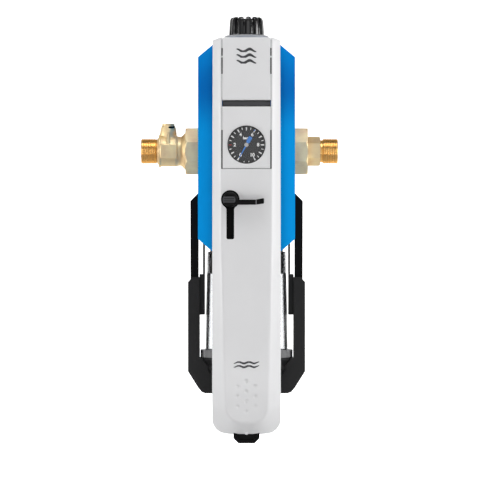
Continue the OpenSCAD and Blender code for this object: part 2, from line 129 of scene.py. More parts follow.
def spread(tree, source, low, high, start=0.0, end=1.0):
    """Maps a source that runs from start to end onto low to high."""
    node = tree.nodes.new("ShaderNodeMapRange")
    for socket, value in (("From Min", start), ("From Max", end), ("To Min", low), ("To Max", high)):
        node.inputs[socket].default_value = value
    tree.links.new(source, node.inputs["Value"])
    return node.outputs["Result"]


def bump(tree, shader, source, strength, distance):
    node = tree.nodes.new("ShaderNodeBump")
    node.inputs["Strength"].default_value = strength
    node.inputs["Distance"].default_value = distance
    tree.links.new(source, node.inputs["Height"])
    tree.links.new(node.outputs["Normal"], shader.inputs["Normal"])


def drift(tree, shader, source, color, vary):
    """Colour that varies by a share of itself."""
    low = [c * (1 - vary) for c in color]
    high = [min(c * (1 + vary), 1) for c in color]
    tree.links.new(ramp(tree, source, low, high), shader.inputs["Base Color"])


def plastic(name, color, rough, grain=2500, grain_depth=0.00001, vary=0.06, **sockets):
    """Moulded plastic: a slow drift of tone, uneven gloss and a fine moulded grain."""
    mat, tree, shader = new_material(name, color, rough, **sockets)
    drift(tree, shader, noise(tree, 22), color, vary)
    tree.links.new(spread(tree, noise(tree, 90), rough * 0.85, rough * 1.15), shader.inputs["Roughness"])
    bump(tree, shader, noise(tree, grain, 2), 0.35, grain_depth)
    return mat


def metal(name, color, rough, grain, grain_depth, vary=0.1):
    """Metal with stained tone, uneven polish and a cast or turned surface."""
    mat, tree, shader = new_material(name, color, rough, 1.0, Specular_Tint=(0.55, 0.46, 0.35, 1))
    drift(tree, shader, noise(tree, 60, 5), color, vary)
    tree.links.new(spread(tree, noise(tree, 300, 4), rough * 0.8, rough * 1.25), shader.inputs["Roughness"])
    bump(tree, shader, noise(tree, grain, 3), 0.5, grain_depth)
    return mat


def facing(tree, blend):
    """0 face on, 1 edge on."""
    node = tree.nodes.new("ShaderNodeLayerWeight")
    node.inputs["Blend"].default_value = blend
    return node.outputs["Facing"]


def clear(name, color, rough, ior):
    """Clear plastic with faint haze in its gloss; its colour is painted near black where the wall is seen
    edge on, a painted refraction of the surroundings.
    """
    mat, tree, shader = new_material(name, color, rough, Transmission_Weight=1.0, IOR=ior)
    # Painted refraction: the base colour goes near black where the wall is seen edge on.
    tree.links.new(ramp(tree, facing(tree, 0.5), color, (0.02, 0.02, 0.024), 0.62, 0.86),
                   shader.inputs["Base Color"])
    tree.links.new(spread(tree, noise(tree, 40), rough * 0.5, rough * 1.5), shader.inputs["Roughness"])
    return mat


def window():
    """Thin clear pane: nearly invisible face on; at a slant it turns more opaque, so its pale colour shows as
    a painted sheen beside its real gloss.
    """
    mat, tree, shader = new_material("gauge_window", (0.9, 0.92, 0.94), 0.05, Specular_IOR_Level=0.5)
    tree.links.new(spread(tree, noise(tree, 40), 0.03, 0.07), shader.inputs["Roughness"])
    # Painted sheen: opacity rises at a slant, showing the pane's pale colour.
    tree.links.new(spread(tree, facing(tree, 0.3), 0.03, 0.35), shader.inputs["Alpha"])
    return mat


def woven_steel():
    """Fine woven wire, as crossing waves in height and tone."""
    mat, tree, shader = new_material("sieve_steel", (0.5, 0.51, 0.53), 0.35, 1.0)
    heights = []
    for direction in ("X", "Z"):
        wave = tree.nodes.new("ShaderNodeTexWave")
        wave.bands_direction = direction
        wave.inputs["Scale"].default_value = 180
        tree.links.new(position(tree), wave.inputs["Vector"])
        heights.append(wave.outputs["Fac"])
    both = tree.nodes.new("ShaderNodeMath")
    both.operation = "MULTIPLY"
    tree.links.new(heights[0], both.inputs[0])
    tree.links.new(heights[1], both.inputs[1])
    tree.links.new(ramp(tree, both.outputs[0], (0.10, 0.10, 0.11), (0.62, 0.63, 0.65), 0.1, 0.6),
                   shader.inputs["Base Color"])
    bump(tree, shader, both.outputs[0], 0.8, 0.0002)
    return mat


def dial_print():
    """Black dial with painted light: a little lighter towards its top."""
    mat, tree, shader = new_material("dial_black", (0.03, 0.03, 0.033), 0.45)
    height = spread(tree, coordinate(tree, "Z"), 0, 1, (GAUGE_Z - GAUGE_R) * MM, (GAUGE_Z + GAUGE_R) * MM)
    # Painted light: the black lifts towards the top of the dial.
    tree.links.new(ramp(tree, height, (0.010, 0.010, 0.011), (0.026, 0.026, 0.028), 0, 1),
                   shader.inputs["Base Color"])
    bump(tree, shader, noise(tree, 4000, 2), 0.3, 0.000005)
    return mat


def blue_moulding():
    """Blue casing plastic with a painted reflection: the blue turns darker in a band across its upper half
    and lighter again at the top.
    """
    mat, tree, shader = new_material("blue_moulding", (0.0, 0.30, 0.80), 0.4, Specular_IOR_Level=0.06)
    casing_half = 110 * MM
    height = spread(tree, coordinate(tree, "Z"), 0, 1, -casing_half, casing_half)
    # Painted reflection: the ramp over height darkens the blue in a band high on the casing and lightens it
    # at the top.
    tone = tree.nodes.new("ShaderNodeValToRGB")
    stops = tone.color_ramp
    stops.interpolation = "EASE"
    stops.elements[0].position, stops.elements[0].color = 0.55, (0.0, 0.34, 0.86, 1)
    stops.elements[1].position, stops.elements[1].color = 1.0, (0.0, 0.27, 0.76, 1)
    reflection_stop = stops.elements.new(0.78)
    reflection_stop.color = (0.0, 0.17, 0.58, 1)
    tree.links.new(height, tone.inputs["Fac"])
    tree.links.new(tone.outputs["Color"], shader.inputs["Base Color"])
    tree.links.new(spread(tree, noise(tree, 90), 0.34, 0.46), shader.inputs["Roughness"])
    bump(tree, shader, noise(tree, 2500, 2), 0.35, 0.00001)
    return mat


M = {
    "white": plastic("white_moulding", (0.80, 0.80, 0.81), 0.34, vary=0.015, Coat_Weight=0.15),
    "blue": blue_moulding(),
    "black": plastic("black_moulding", (0.012, 0.012, 0.013), 0.33, vary=0.2, Specular_IOR_Level=0.4),
    "knob": plastic("knob_moulding", (0.008, 0.008, 0.009), 0.16, vary=0.2, Specular_IOR_Level=0.8),
    "charcoal": plastic("charcoal_moulding", (0.010, 0.010, 0.011), 0.5, grain=1500, grain_depth=0.00003,
                        vary=0.15, Specular_IOR_Level=0.3),
    "rail": plastic("rail_moulding", (0.003, 0.003, 0.0035), 0.5, vary=0.2, Specular_IOR_Level=0.1),
    "ink": plastic("lock_moulding", (0.003, 0.003, 0.003), 0.5, vary=0.2, Specular_IOR_Level=0.12),
    "grey": plastic("grey_moulding", (0.30, 0.30, 0.31), 0.4, vary=0.06),
    "pale": plastic("pale_moulding", (0.62, 0.62, 0.63), 0.4, vary=0.03),
    "ring": plastic("ring_moulding", (0.20, 0.20, 0.205), 0.4, vary=0.06),
    "collar": plastic("collar_moulding", (0.40, 0.40, 0.41), 0.5, vary=0.04),
    "strip": plastic("strip_moulding", (0.042, 0.043, 0.048), 0.35, vary=0.12),
    "rubber": plastic("seal_rubber", (0.02, 0.02, 0.02), 0.7, grain=1200, grain_depth=0.00005, vary=0.2),
    "brass": metal("cast_brass", (0.97, 0.71, 0.42), 0.54, grain=1100, grain_depth=0.00028, vary=0.16),
    "nut": metal("plated_brass", (0.99, 0.72, 0.44), 0.50, grain=1100, grain_depth=0.00022, vary=0.16),
    "thread": metal("turned_brass", (0.92, 0.53, 0.17), 0.28, grain=1500, grain_depth=0.00001),
    "steel": metal("plain_steel", (0.58, 0.58, 0.60), 0.28, grain=1500, grain_depth=0.00001, vary=0.05),
    "magnet": metal("magnet_plating", (0.35, 0.35, 0.37), 0.2, grain=1500, grain_depth=0.00001, vary=0.05),
    "mesh": woven_steel(),
    "clear": clear("clear_bowl", (0.96, 0.97, 0.98), 0.03, 1.46),
    "lens": window(),
    "dial": dial_print(),
    # The white print glows a little, painted light that keeps its thin marks bright; it is no lamp.
    "glowing_print_white": plastic("glowing_print_white", (0.95, 0.95, 0.95), 0.5, vary=0.02,
                           Emission_Color=(1, 1, 1, 1), Emission_Strength=0.3),
    "print_red": plastic("print_red", (0.70, 0.03, 0.03), 0.5, vary=0.05),
    "print_blue": plastic("print_blue", (0.05, 0.29, 0.88), 0.45, vary=0.05),
}

SLOT_LOOK = {
    "brass_body": "brass", "brass_thread": "thread", "nut_metal": "nut", "steel_part": "steel",
    "white_plastic": "white", "blue_plastic": "blue", "black_plastic": "black",
    "charcoal_plastic": "charcoal", "grey_plastic": "grey", "strip_plastic": "strip",
    "clear_plastic": "clear", "gauge_glass": "lens", "dial_print": "dial",
    "pointer_blue": "print_blue", "seal_rubber": "rubber", "magnet_metal": "magnet",
}
NODE_LOOK = {
    "sieve_mesh": "mesh", "collar": "collar", "ribbed_ring": "ring", "rails": "rail",
    "lift_rods": "black", "keyhole_liner": "ink",
}


# ---------------------------------------------------------------- mesh helpers

def add(name, data):
    obj = bpy.data.objects.new(name, data)
    bpy.context.scene.collection.objects.link(obj)
    return obj


def make_object(name, verts, faces, look, smooth_angle=35):
    """Mesh object from points in millimetres, smooth except across edges sharper than the angle."""
    mesh = bpy.data.meshes.new(name)
    mesh.from_pydata([Vector(v) * MM for v in verts], [], faces)
    obj = add(name, mesh)
    tidy(obj, smooth_angle)
    mesh.materials.append(M[look])
    return obj


def tidy(obj, smooth_angle=35):
    bm = bmesh.new()
    bm.from_mesh(obj.data)
    bmesh.ops.remove_doubles(bm, verts=bm.verts, dist=1e-6)
    bmesh.ops.dissolve_degenerate(bm, edges=bm.edges, dist=1e-6)
    bmesh.ops.recalc_face_normals(bm, faces=bm.faces)
    for face in bm.faces:
        face.smooth = True
    limit = math.radians(smooth_angle)
    for edge in bm.edges:
        edge.smooth = len(edge.link_faces) != 2 or edge.calc_face_angle(0) < limit
    bm.to_mesh(obj.data)
    bm.free()


def bake(obj):
    """Applies an object's modifiers."""
    graph = bpy.context.evaluated_depsgraph_get()
    mesh = bpy.data.meshes.new_from_object(obj.evaluated_get(graph))
    obj.modifiers.clear()
    obj.data = mesh


def cut(obj, cutter, operation="DIFFERENCE", solver="EXACT"):
    mod = obj.modifiers.new("cut", "BOOLEAN")
    mod.object = cutter
    mod.operation = operation
    mod.solver = solver
    bake(obj)
    bpy.data.objects.remove(cutter)


def rounded(obj, width, segments=3, angle=32):
    mod = obj.modifiers.new("rounded", "BEVEL")
    mod.width = width * MM
    mod.segments = segments
    mod.limit_method = "ANGLE"
    mod.angle_limit = math.radians(angle)
    mod.harden_normals = True
    mod.miter_outer = "MITER_ARC"


def join(objects, name):
    """One mesh from several, keeping each one's material."""
    bm = bmesh.new()
    materials = []
    for obj in objects:
        start = len(bm.faces)
        bm.from_mesh(obj.data)
        bm.faces.ensure_lookup_table()
        slot_of = []
        for mat in obj.data.materials:
            if mat not in materials:
                materials.append(mat)
            slot_of.append(materials.index(mat))
        for face in bm.faces[start:]:
            face.material_index = slot_of[min(face.material_index, len(slot_of) - 1)]
    mesh = bpy.data.meshes.new(name)
    bm.to_mesh(mesh)
    bm.free()
    for mat in materials:
        mesh.materials.append(mat)
    for obj in objects:
        bpy.data.objects.remove(obj)
    obj = add(name, mesh)
    return obj


def grid_faces(rows, cols, closed_rows=False, closed_cols=False):
    faces = []
    for i in range(rows if closed_rows else rows - 1):
        for j in range(cols if closed_cols else cols - 1):
            a = i * cols + j
            b = i * cols + (j + 1) % cols
            c = (i + 1) % rows * cols + (j + 1) % cols
            d = (i + 1) % rows * cols + j
            faces.append((a, b, c, d))
    return faces


def place(axis, along, across, up, centre):
    """A point from distances along and across an axis, X, Y or Z."""
    x, y, z = centre
    if axis == "X":
        return (x + along, y + across, z + up)
    if axis == "Y":
        return (x + across, y + along, z + up)
    return (x + across, y + up, z + along)


def lathe(name, profile, look, axis="Z", centre=(0, 0, 0), segments=96, closed=True, angle=35):
    """Turns (distance along, radius) pairs about an axis. Points at radius 0 become poles."""
    verts = []
    for along, radius in profile:
        for j in range(segments):
            turn = 2 * math.pi * j / segments
            verts.append(place(axis, along, radius * math.cos(turn), radius * math.sin(turn), centre))
    faces = grid_faces(len(profile), segments, closed_rows=closed, closed_cols=True)
    return make_object(name, verts, faces, look, angle)


def round_tool(name, low, high, radius, axis="X", centre=(0, 0, 0), segments=96, look="brass"):
    """Round cutter from low to high along an axis."""
    return lathe(name, [(low, radius), (high, radius), (high, 0), (low, 0)], look, axis, centre, segments,
                 closed=False)


def prism(name, outline, y0, y1, look):
    """Extrudes an outline in X and Z along Y."""
    count = len(outline)
    verts = [(x, y0, z) for x, z in outline] + [(x, y1, z) for x, z in outline]
    faces = [tuple(range(count)), tuple(range(2 * count - 1, count - 1, -1))]
    faces += [(i, (i + 1) % count, count + (i + 1) % count, count + i) for i in range(count)]
    return make_object(name, verts, faces, look)


def brick(name, low, high, look="black"):
    outline = [(low[0], low[2]), (high[0], low[2]), (high[0], high[2]), (low[0], high[2])]
    return prism(name, outline, low[1], high[1], look)


def arc(cx, cz, r, start, end, steps):
    angles = [math.radians(start + (end - start) * i / steps) for i in range(steps + 1)]
    return [(cx + r * math.cos(a), cz + r * math.sin(a)) for a in angles]


def finish_piece(obj, body, slot, *nodes):
    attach(obj, body)
    if nodes:
        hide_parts(*nodes)


# ---------------------------------------------------------------- the front's shared surface

def smooth_max(a, b, r):
    blend = max(r - abs(a - b), 0) / r
    return max(a, b) + blend * blend * r / 4


def profile_y(z):
    """Side profile of the front: a long shallow bow."""
    return BOW_Y + BOW * (z - BOW_Z) ** 2


def outside_plateau(x, z):
    """Signed distance from the edge of the flat centre, which ends in a rounded foot."""
    if z > FLAT_MID_Z:
        half = FLAT_MID + (FLAT_TOP - FLAT_MID) * (z - FLAT_MID_Z) / FLAT_RISE
    else:
        half = FLAT_MID + (FLAT_LOW - FLAT_MID) * (FLAT_MID_Z - z) / FLAT_DROP
    dx = abs(x) - (half - SMILE_CORNER)
    dz = (SMILE_Z + SMILE_CORNER) - z
    if dz <= 0:
        return abs(x) - half
    return math.hypot(max(dx, 0), dz) - SMILE_CORNER


DIMPLES = [(0, -238.4 - DIMPLE_PITCH * i) for i in range(4)]
DIMPLES += [(x, -243.6 - DIMPLE_PITCH * i) for i in range(3) for x in (-8.9, 8.9)]


def front_y(x, z):
    y = smooth_max(profile_y(z), profile_y(z) + outside_plateau(x, z) * FACET_SLOPE, FACET_BLEND)
    for dx, dz in DIMPLES:
        reach = 1 - ((x - dx) ** 2 + (z - dz) ** 2) / DIMPLE_R ** 2
        if reach > 0:
            y += DIMPLE_DEPTH * reach
    return y


def side_half(z):
    return SIDE_TOP + (SIDE_LOW - SIDE_TOP) * (TOP_Z - z) / (TOP_Z - BOTTOM_Z)


def rear_y(z):
    """Rear edge of the lever's side walls, rounded about the pivot and clear of the casing when swung up."""
    if z <= PIVOT_Z:
        return SHELL_REAR
    rise = z - PIVOT_Z
    swung_clear = (CASING_FRONT - SWING_GAP - PIVOT_Y - rise * math.sin(SWING)) / math.cos(SWING)
    rounding = math.sqrt(max(PIVOT_CLEAR ** 2 - rise ** 2, 0))
    return min(SHELL_REAR, PIVOT_Y + rounding, PIVOT_Y + swung_clear)


def steps_between(start, end, pitch):
    count = max(1, round(abs(end - start) / pitch))
    return [start + (end - start) * i / count for i in range(count + 1)]


def merged(*lists):
    """Sorted values without near repeats."""
    out, nearest = [], 0.15
    for value in sorted(v for part in lists for v in part):
        if not out or value - out[-1] > nearest:
            out.append(value)
    return out


def skirted_panel(name, points, keep, rear, wall, look, edge):
    """A pressed panel: a grid of (x, z) points, faces kept by a rule, and an edge rolled back to rear(z).

    The edge turns in steps, each a share of its width outwards and a share backwards.
    """
    rows, cols = len(points), len(points[0])
    bm = bmesh.new()
    verts = [[bm.verts.new((x, front_y(x, z), z)) for x, z in row] for row in points]
    for i in range(rows - 1):
        for j in range(cols - 1):
            quad = [verts[i][j], verts[i][j + 1], verts[i + 1][j + 1], verts[i + 1][j]]
            middle = sum((v.co for v in quad), Vector()) / 4
            if keep(middle.x, middle.z):
                bm.faces.new(quad)
    bmesh.ops.delete(bm, geom=[v for v in bm.verts if not v.link_faces], context="VERTS")
    outer = {v for row in (verts[0], verts[-1]) for v in row if v.is_valid}
    outer |= {row[k] for row in verts for k in (0, -1) if row[k].is_valid}
    ring = [e for e in bm.edges if e.is_boundary and e.verts[0] in outer and e.verts[1] in outer]
    turns, depth = [(0.30, 0.10), (0.28, 0.26), (0.12, 0.34)], 2.2
    normals = {}
    for e in ring:
        face = e.link_faces[0]
        mid = (e.verts[0].co + e.verts[1].co) / 2
        along = e.verts[1].co - e.verts[0].co
        side = Vector((along.z, 0, -along.x))
        if side.length < 1e-9:
            continue
        side.normalize()
        if side.dot(mid - face.calc_center_median()) < 0:
            side.negate()
        for v in e.verts:
            normals[v] = normals.get(v, Vector()) + side
    for v in normals:
        normals[v].normalize()
    levels = {v: [v] for v in normals}
    for v, chain in levels.items():
        co = v.co.copy()
        slope = front_y(co.x + normals[v].x, co.z + normals[v].z) - front_y(co.x, co.z)
        for out, back in turns:
            co = co + normals[v] * out * edge
            co.y += (max(slope, 0) * out + back * depth) * edge
            chain.append(bm.verts.new(co))
        chain.append(bm.verts.new((co.x, rear(co.z), co.z)))
    for e in ring:
        a, b = e.verts
        for k in range(len(turns) + 1):
            bm.faces.new((levels[a][k], levels[b][k], levels[b][k + 1], levels[a][k + 1]))
    for v in bm.verts:
        v.co *= MM
    mesh = bpy.data.meshes.new(name)
    bmesh.ops.recalc_face_normals(bm, faces=bm.faces)
    foremost = min(bm.faces, key=lambda f: f.calc_center_median().y)
    if foremost.normal.y > 0:
        bmesh.ops.reverse_faces(bm, faces=bm.faces)
    bm.to_mesh(mesh)
    bm.free()
    obj = add(name, mesh)
    mesh.materials.append(M[look])
    solid = obj.modifiers.new("wall", "SOLIDIFY")
    solid.thickness = wall * MM
    solid.offset = -1
    solid.use_even_offset = False
    bake(obj)
    tidy(obj, 40)
    return obj


def front_cover():
    """The lever's shell: window for the fixed panel, keyhole, dimples, rounded foot."""
    corner_x, radius = SIDE_LOW - CORNER_R, CORNER_R - EDGE
    window_half, lip = INSERT_HALF + INSERT_GAP, INSERT_BOTTOM - INSERT_GAP
    fan_x = 27.8                                    # beyond it the columns fan out to the side
    coarse, dimples_z, foot_z, foot_rows = 3.2, -234, -262.0, 26
    slant_z, slant_height, slant = 96, 14, 0.25     # the top edge falls a little towards its corners
    half = merged(steps_between(0, corner_x, 1.0), [window_half], [25.8, 26.3, 26.8, 27.3, fan_x],
                  [corner_x + radius * math.sin(math.radians(t)) for t in range(10, 91, 8)])
    xs = [-x for x in reversed(half) if x > 0] + half
    zs = steps_between(TOP_Z - EDGE, lip, coarse) + steps_between(lip, dimples_z, coarse)[1:]
    zs += steps_between(dimples_z, foot_z, 1.0)[1:]
    points = []
    for z in zs:
        grow = (side_half(z) - EDGE - fan_x) / (half[-1] - fan_x)
        drop = max(0, (z - slant_z) / slant_height)
        points.append([(x if abs(x) <= fan_x else math.copysign(fan_x + (abs(x) - fan_x) * grow, x),
                        z - drop * slant * max(abs(x) - INSERT_HALF, 0)) for x in xs])
    for i in range(1, foot_rows + 1):
        row = []
        for x in xs:
            past = max(abs(x) - corner_x, 0)
            end = BOTTOM_Z + CORNER_R - math.sqrt(max(radius * radius - past * past, 0)) + FOOT_CURVE * x * x
            row.append((x, foot_z + (end - foot_z) * i / foot_rows))
        points.append(row)
    cover = skirted_panel("front_cover_shell", points, lambda x, z: abs(x) > window_half or z < lip,
                          rear_y, 2.4, "white", EDGE)
    hole = arc(LOCK_X, LOCK_Z, RECESS_R, -60, 240, 40)
    slot = arc(LOCK_X - SLOT_HALF + SLOT_R, SLOT_END + SLOT_R, SLOT_R, 180, 270, 5)
    slot += arc(LOCK_X + SLOT_HALF - SLOT_R, SLOT_END + SLOT_R, SLOT_R, 270, 360, 5)
    blend_z = LOCK_Z - math.sqrt(RECESS_R ** 2 - SLOT_HALF ** 2) - 1.5
    outline = slot + [(LOCK_X + SLOT_HALF, blend_z)] + hole + [(LOCK_X - SLOT_HALF, blend_z)]
    cut(cover, prism("keyhole_cutter", outline, -160, -139, "white"), solver="MANIFOLD")
    wall_x, pin_hole_r, reach, gap = 34, 3.06, 5, 0.8
    for x in (-wall_x, wall_x):
        hole = lathe("pin_cutter", [(-reach, 0), (-reach, pin_hole_r), (reach, pin_hole_r), (reach, 0)],
                     "white", "X", (x, PIVOT_Y, PIVOT_Z), 48, closed=False)
        cut(cover, hole, solver="MANIFOLD")
    opening = brick("latch_cutter", (-13.7, LATCH_FRONT - gap, -300), (13.7, LATCH_REAR + gap, -286))
    cut(cover, opening, solver="MANIFOLD")
    nub = prism("nub", [(-1.0, -294.0), (1.0, -294.0), (2.4, -291.4), (-2.4, -291.4)],
                -124.6, -122.4, "white")
    seats = [brick("seat", (low, -136, SEAT_Z), (high, -115.5, SEAT_Z + 2), "white")
             for low, high in ((-14, -7), (7, 14))]
    cover = join([cover, nub] + seats, "front_cover_shell")
    tidy(cover, 40)
    finish_piece(cover, "front_lever", "white_plastic", "front_cover")


def panel_points(x_half, z_top, z_low, edge, pitch=2.4):
    """Grid for a rectangular panel."""
    half = merged(steps_between(0, x_half - edge, pitch))
    xs = [-x for x in reversed(half) if x > 0] + half
    return [[(x, z) for x in xs] for z in steps_between(z_top - edge, z_low + edge, pitch)]


def everywhere(x, z):
    return True


def panel_rear(z):
    return CASING_FRONT - 0.1


def gauge_panel_rear(z):
    """As the other panel's, but with a short lip along the bottom edge."""
    return panel_rear(z) if z > INSERT_BOTTOM + 4 else -136.0


def centre_panels():
    edge, wall, top_z = 0.18, 2.2, 110.9
    top = skirted_panel("top_panel_shell", panel_points(INSERT_HALF, top_z, STRIP_HIGH, edge),
                        everywhere, panel_rear, wall, "white", edge)
    finish_piece(top, "root", "white_plastic", "top_panel")
    low = skirted_panel("gauge_panel_shell", panel_points(INSERT_HALF, STRIP_LOW, INSERT_BOTTOM, edge),
                        everywhere, gauge_panel_rear, wall, "white", edge)
    cut(low, round_tool("gauge_cutter", -30, 30, GAUGE_R + 0.08, "Y", (0, -150, GAUGE_Z), 128, "white"))
    tidy(low, 40)
    finish_piece(low, "root", "white_plastic", "gauge_panel")


def grip_strip():
    """Dark strip in the slot between the two panels, its face set back."""
    edge, set_back, face_y = 0.5, 1.3, -140
    strip = skirted_panel("grip_strip_bar",
                          panel_points(INSERT_HALF - 0.2, STRIP_HIGH - 0.5, STRIP_LOW + 0.4, edge, 0.9),
                          everywhere, lambda z: CASING_FRONT - 0.2, 2.0, "strip", edge)
    for v in strip.data.vertices:
        v.co.y += set_back * MM if v.co.y < face_y * MM else 0
    finish_piece(strip, "root", "strip_plastic", "grip_strip")


def seam_bar(x, low, high, width, depth, look):
    """Narrow upright bar in a seam. Its face follows the front's bow at a depth behind it."""
    rows, thick = steps_between(low, high, 6), 3
    left, right = x - width / 2, x + width / 2
    verts = []
    for z in rows:
        y = profile_y(z) + depth
        verts += [(left, y, z), (right, y, z), (right, y + thick, z), (left, y + thick, z)]
    faces = grid_faces(len(rows), 4, closed_cols=True)
    faces += [(0, 1, 2, 3), tuple(range(len(verts) - 1, len(verts) - 5, -1))]
    return make_object("seam_bar", verts, faces, look)


def seams():
    """Ledges that close the seams beside the fixed panel, and near-black bars of painted shade in the open
    slots between them.
    """
    slots = [(92.0, 99.9), (73.5, 90.1), (INSERT_BOTTOM - 0.3, 16.4)]
    ledges = [(99.9, 108.0), (90.1, 92.0), (47.5, 73.5), (16.4, 39.5)]
    middle = INSERT_HALF + INSERT_GAP / 2
    # Painted shade: near-black bars, and a strip below the gauge panel, stand where the seams hold only
    # shadow.
    shade_bars = [seam_bar(side * (middle - 0.15), low, high, 1.3, -0.05, "rail")
            for side in (-1, 1) for low, high in slots]
    shade_bars.append(brick("seam_shadow_floor", (-middle, -148.2, INSERT_BOTTOM - 0.55),
                      (middle, -146, INSERT_BOTTOM - 0.05)))
    finish_piece(join(shade_bars, "seam_shadow_bars"), "root", "black_plastic")
    pale = [seam_bar(side * middle, low, high, INSERT_GAP + 0.2, 0.4, "grey")
            for side in (-1, 1) for low, high in ledges]
    finish_piece(join(pale, "seam_ledges"), "root", "grey_plastic")


# ---------------------------------------------------------------- gauge

def polar(radius, degrees):
    a = math.radians(degrees)
    return radius * math.cos(a), GAUGE_Z + radius * math.sin(a)


def tick(angle, inner, outer, width_in, width_out, look="glowing_print_white", y=DIAL_Y):
    """Wedge-shaped mark on the dial between two radii. The widths are half widths."""
    a = math.radians(angle)
    along, across = (math.cos(a), math.sin(a)), (-math.sin(a), math.cos(a))
    corners = [(inner, -width_in), (outer, -width_out), (outer, width_out), (inner, width_in)]
    outline = [(r * along[0] + w * across[0], GAUGE_Z + r * along[1] + w * across[1]) for r, w in corners]
    return prism("tick", outline, y - 0.08, y, look)


def label(text, size, x, z):
    curve = bpy.data.curves.new("label", "FONT")
    curve.body = text
    curve.size = size * MM
    curve.extrude = 0.04 * MM
    curve.offset = 0.15 * MM
    curve.align_x = "CENTER"
    curve.align_y = "CENTER"
    obj = add("label", curve)
    place_at = Vector((x, DIAL_Y - 0.06, z)) * MM
    obj.matrix_world = Matrix.Translation(place_at) @ Matrix.Rotation(math.pi / 2, 4, "X")
    bpy.context.view_layer.update()
    graph = bpy.context.evaluated_depsgraph_get()
    mesh = bpy.data.meshes.new_from_object(obj.evaluated_get(graph))
    mesh.transform(obj.matrix_world)
    bpy.data.objects.remove(obj)
    mesh.materials.clear()
    mesh.materials.append(M["glowing_print_white"])
    return add("label_mesh", mesh)


def gauge():
    rim = GAUGE_R - 1.3
    axis = (0, 0, GAUGE_Z)
    first_angle, step, missing = 240, 15, 4         # a red mark stands in for the missing one
    marks = []
    for i in range(21):
        angle = first_angle - step * i
        if i % 2:
            marks.append(tick(angle, rim - 2.3, rim - 0.1, 0.32, 0.50))
        elif i != missing:
            marks.append(tick(angle, rim - 3.5, rim - 0.1, 0.36, 0.80))
    for angle in (262, 278):
        marks.append(tick(angle, rim - 1.5, rim - 0.4, 0.3, 0.45))
    marks.append(tick(180, rim - 3.0, rim - 0.1, 0.35, 0.5, "print_red"))
    marks.append(tick(61, rim - 2.4, rim - 0.2, 0.3, 0.6, "print_blue", DIAL_Y - 0.05))
    for number in range(0, 11, 2):
        x, z = polar(11.9, first_angle - 2 * step * number)
        marks.append(label(str(number), 4.9, x, z))
    marks.append(label("bar", 3.8, -1.0, GAUGE_Z + 6.9))
    finish_piece(join(marks, "dial_marks"), "root", "dial_print")

    turn = math.radians(241)
    shape = [(15.2, 0.25), (3, 0.75), (-2.2, 1.0), (-2.8, 1.9), (-9.2, 1.9),
             (-9.2, -1.9), (-2.8, -1.9), (-2.2, -1.0), (3, -0.75), (15.2, -0.25)]
    outline = [(a * math.cos(turn) - b * math.sin(turn), GAUGE_Z + a * math.sin(turn) + b * math.cos(turn))
               for a, b in shape]
    blade = prism("blade", outline, -144.2, -143.5, "print_blue")
    rounded(blade, 0.12, 2)
    bake(blade)
    hub = lathe("hub", [(-145.1, 0), (-145.1, 1.6), (-144.8, 2.1), (-143.2, 2.2), (-142.6, 2.2), (-142.6, 0)],
                "pale", "Y", axis, 48, closed=False)
    cap = lathe("cap", [(-145.35, 0), (-145.3, 0.6), (-145.05, 0.8), (-145.05, 0)],
                "pale", "Y", axis, 32, closed=False)
    finish_piece(join([blade, hub, cap], "pointer_needle"), "pointer", "pointer_blue", "gauge_pointer")

    bezel = lathe("gauge_bezel", [(-148.3, GAUGE_R - 0.95), (-148.55, GAUGE_R - 0.6),
                                  (-148.5, GAUGE_R - 0.15), (-148.2, GAUGE_R), (-141, GAUGE_R),
                                  (-141, GAUGE_R - 1.1)], "black", "Y", axis, 128)
    back = lathe("gauge_back", [(-141, 0), (-141, GAUGE_R), (-129, GAUGE_R), (-128, GAUGE_R - 1), (-128, 0)],
                 "black", "Y", axis, closed=False)
    finish_piece(join([bezel, back], "gauge_body"), "root", "black_plastic", "gauge_case")


# ---------------------------------------------------------------- knob

def knob():
    """Twelve bowed ribs with narrow grooves between them, which run out in a scalloped crown.

    Each ring is a height, a radius, the depth of its grooves and how far it dips in them.
    """
    ribs, segments, first_rib = 12, 288, 0.25
    groove_half, groove_edge, bow = 0.42, 0.14, 0.7
    rings = [(118.5, 18.2, 0.0, 0.0), (118.9, 18.4, 0.5, 0.0), (119.6, 18.4, 1.0, 0.0),
             (126, 18.0, 1.0, 0.0), (132.5, 17.6, 1.2, 0.5), (134.6, 17.3, 1.4, 1.4), (136.0, 16.7, 1.5, 2.2),
             (137.1, 15.6, 1.2, 2.8), (137.5, 14.3, 0.8, 2.8), (137.3, 13.1, 0.3, 2.4),
             (136.2, 12.3, 0.0, 1.0), (135.5, 11.4, 0.0, 0.0), (135.4, 5.0, 0.0, 0.0), (135.5, 0.0, 0.0, 0.0)]
    verts = []
    for z, radius, depth, dip in rings:
        for j in range(segments):
            turn = 2 * math.pi * j / segments
            across = abs((ribs * turn / (2 * math.pi) + first_rib) % 1 - 0.5) * 2
            groove = min(1, max(0, (groove_half - across) / groove_edge))
            crown = bow * (1 - across) ** 2
            r = radius - depth * (1.5 * groove + crown)
            low = z - dip * (0.8 * groove + 0.2 * (1 - across))
            verts.append((r * math.sin(turn), HEAD_Y + r * math.cos(turn), low))
    shell = make_object("knob_shell", verts, grid_faces(len(rings), segments, closed_cols=True), "knob", 30)
    floor = lathe("knob_floor", [(118.5, 18.2), (118.5, 4.1), (119.5, 4.1), (119.5, 17.0)], "knob", "Z",
                  (0, HEAD_Y, 0), 144)
    finish_piece(join([shell, floor], "knob_ribbed"), "adjuster", "black_plastic", "knob")


# ---------------------------------------------------------------- pipe fittings

